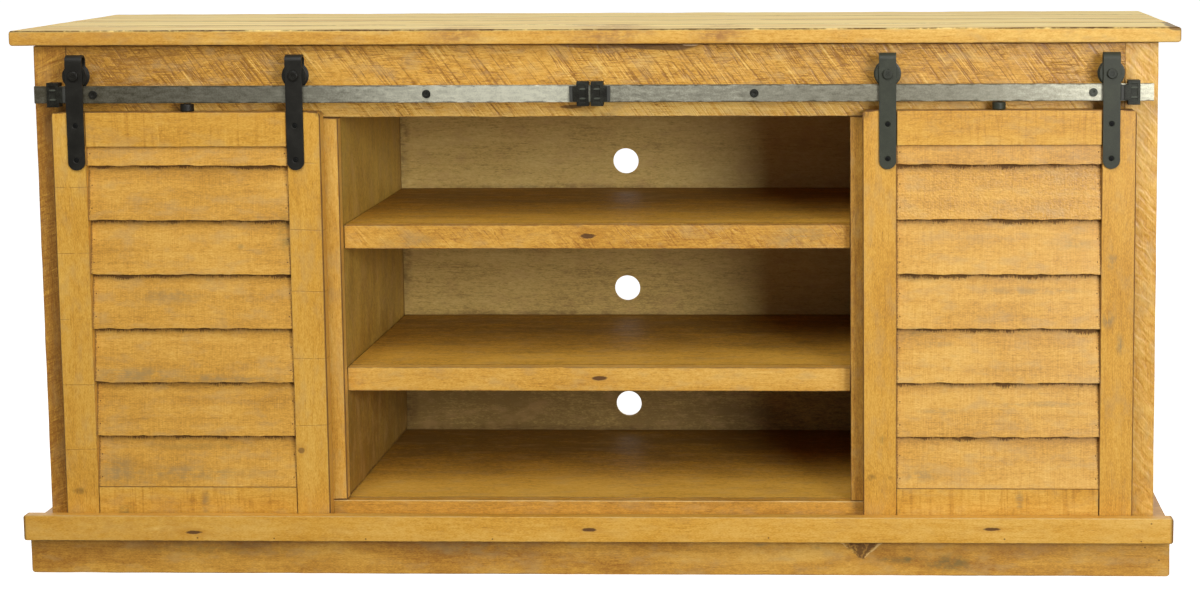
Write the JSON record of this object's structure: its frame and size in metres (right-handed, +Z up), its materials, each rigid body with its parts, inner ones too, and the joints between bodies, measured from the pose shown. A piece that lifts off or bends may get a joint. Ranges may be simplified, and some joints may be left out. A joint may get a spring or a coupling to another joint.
{
  "type": "television stand",
  "caption": "Low rustic wooden television stand with louvred doors that slide on flat tracks by strap hangers and grooved wheels, open centre bays and cable holes in the back.",
  "frame": {"origin": "on the floor, at the middle of the whole width and depth", "axes": "+X to the right when facing the doors, +Y towards the back, +Z up"},
  "size_m": [1.651, 0.499, 0.78],
  "materials": {
    "pine_top": "clear-waxed pine planks with a dark glaze along the edges",
    "pine_frame": "honey pine with rough saw marks",
    "pine_base": "honey pine with a dark glaze along the edges",
    "pine_nosing": "honey pine",
    "pine_panel": "honey pine",
    "pine_door": "honey pine, lightly distressed",
    "pine_louvre": "honey pine with wavy lower edges and a dark glaze under each",
    "steel_track": "mill-finished dark steel",
    "pin_steel": "plain steel",
    "black_iron": "black powder coat, slightly textured",
    "black_bolt": "black oxide",
    "black_wheel": "black nylon",
    "rubber_pad": "dull rubber"
  },
  "bodies": {
    "cabinet": {"top_plank_1": "pine_top", "top_plank_2": "pine_top", "top_plank_3": "pine_top", "top_plank_4": "pine_top", "top_cleats": "pine_panel", "side_panel_left": "pine_panel", "side_panel_right": "pine_panel", "partition_left": "pine_panel", "partition_right": "pine_panel", "outer_stile_left": "pine_frame", "outer_stile_right": "pine_frame", "inner_stile_left": "pine_frame", "inner_stile_right": "pine_frame", "header_rail": "pine_frame", "bottom_rail": "pine_frame", "bottom_panel": "pine_panel", "back_panel": "pine_panel", "centre_shelf_upper": "pine_panel", "centre_shelf_lower": "pine_panel", "shelf_nosing_upper": "pine_nosing", "shelf_nosing_lower": "pine_nosing", "side_shelf_left": "pine_panel", "side_shelf_right": "pine_panel", "shelf_pins": "pin_steel", "base_platform": "pine_base", "guide_strip": "pine_base", "plinth_front": "pine_base", "plinth_left": "pine_base", "plinth_right": "pine_base", "plinth_rear": "pine_base", "track_left": "steel_track", "track_right": "steel_track", "track_spacers": "steel_track", "track_bolts": "black_bolt", "track_stops": "black_iron", "stop_pads": "rubber_pad"},
    "door_left": {"door_left_stile_outer": "pine_door", "door_left_stile_inner": "pine_door", "door_left_top_rail": "pine_door", "door_left_bottom_rail": "pine_door", "door_left_louvres": "pine_louvre", "door_left_hangers": "black_iron", "door_left_axles": "black_bolt", "door_left_screws": "black_bolt", "door_left_disc": "black_iron"},
    "door_right": {"door_right_stile_outer": "pine_door", "door_right_stile_inner": "pine_door", "door_right_top_rail": "pine_door", "door_right_bottom_rail": "pine_door", "door_right_louvres": "pine_louvre", "door_right_hangers": "black_iron", "door_right_axles": "black_bolt", "door_right_screws": "black_bolt", "door_right_disc": "black_iron"},
    "wheel_left_outer": {"wheel_left_outer": "black_wheel"},
    "wheel_left_inner": {"wheel_left_inner": "black_wheel"},
    "wheel_right_inner": {"wheel_right_inner": "black_wheel"},
    "wheel_right_outer": {"wheel_right_outer": "black_wheel"}
  },
  "joints": [
    {"name": "door_left_slide", "type": "slide", "parent": "cabinet", "child": "door_left", "axis": [1, 0, 0], "range_m": [0, 0.375]},
    {"name": "door_right_slide", "type": "slide", "parent": "cabinet", "child": "door_right", "axis": [-1, 0, 0], "range_m": [0, 0.375]},
    {"name": "wheel_left_outer_spin", "type": "hinge", "parent": "door_left", "child": "wheel_left_outer", "pos_m": [-0.727, -0.2195, 0.7162], "axis": [0, 1, 0], "continuous": true},
    {"name": "wheel_left_inner_spin", "type": "hinge", "parent": "door_left", "child": "wheel_left_inner", "pos_m": [-0.416, -0.2195, 0.7162], "axis": [0, 1, 0], "continuous": true},
    {"name": "wheel_right_inner_spin", "type": "hinge", "parent": "door_right", "child": "wheel_right_inner", "pos_m": [0.416, -0.2195, 0.7162], "axis": [0, 1, 0], "continuous": true},
    {"name": "wheel_right_outer_spin", "type": "hinge", "parent": "door_right", "child": "wheel_right_outer", "pos_m": [0.727, -0.2195, 0.7162], "axis": [0, 1, 0], "continuous": true}
  ],
  "couplings": [
    {"joint": "wheel_left_outer_spin", "follows": "door_left_slide", "rad_per_m": 71.429},
    {"joint": "wheel_left_inner_spin", "follows": "door_left_slide", "rad_per_m": 71.429},
    {"joint": "wheel_right_inner_spin", "follows": "door_right_slide", "rad_per_m": -71.429},
    {"joint": "wheel_right_outer_spin", "follows": "door_right_slide", "rad_per_m": -71.429}
  ]
}
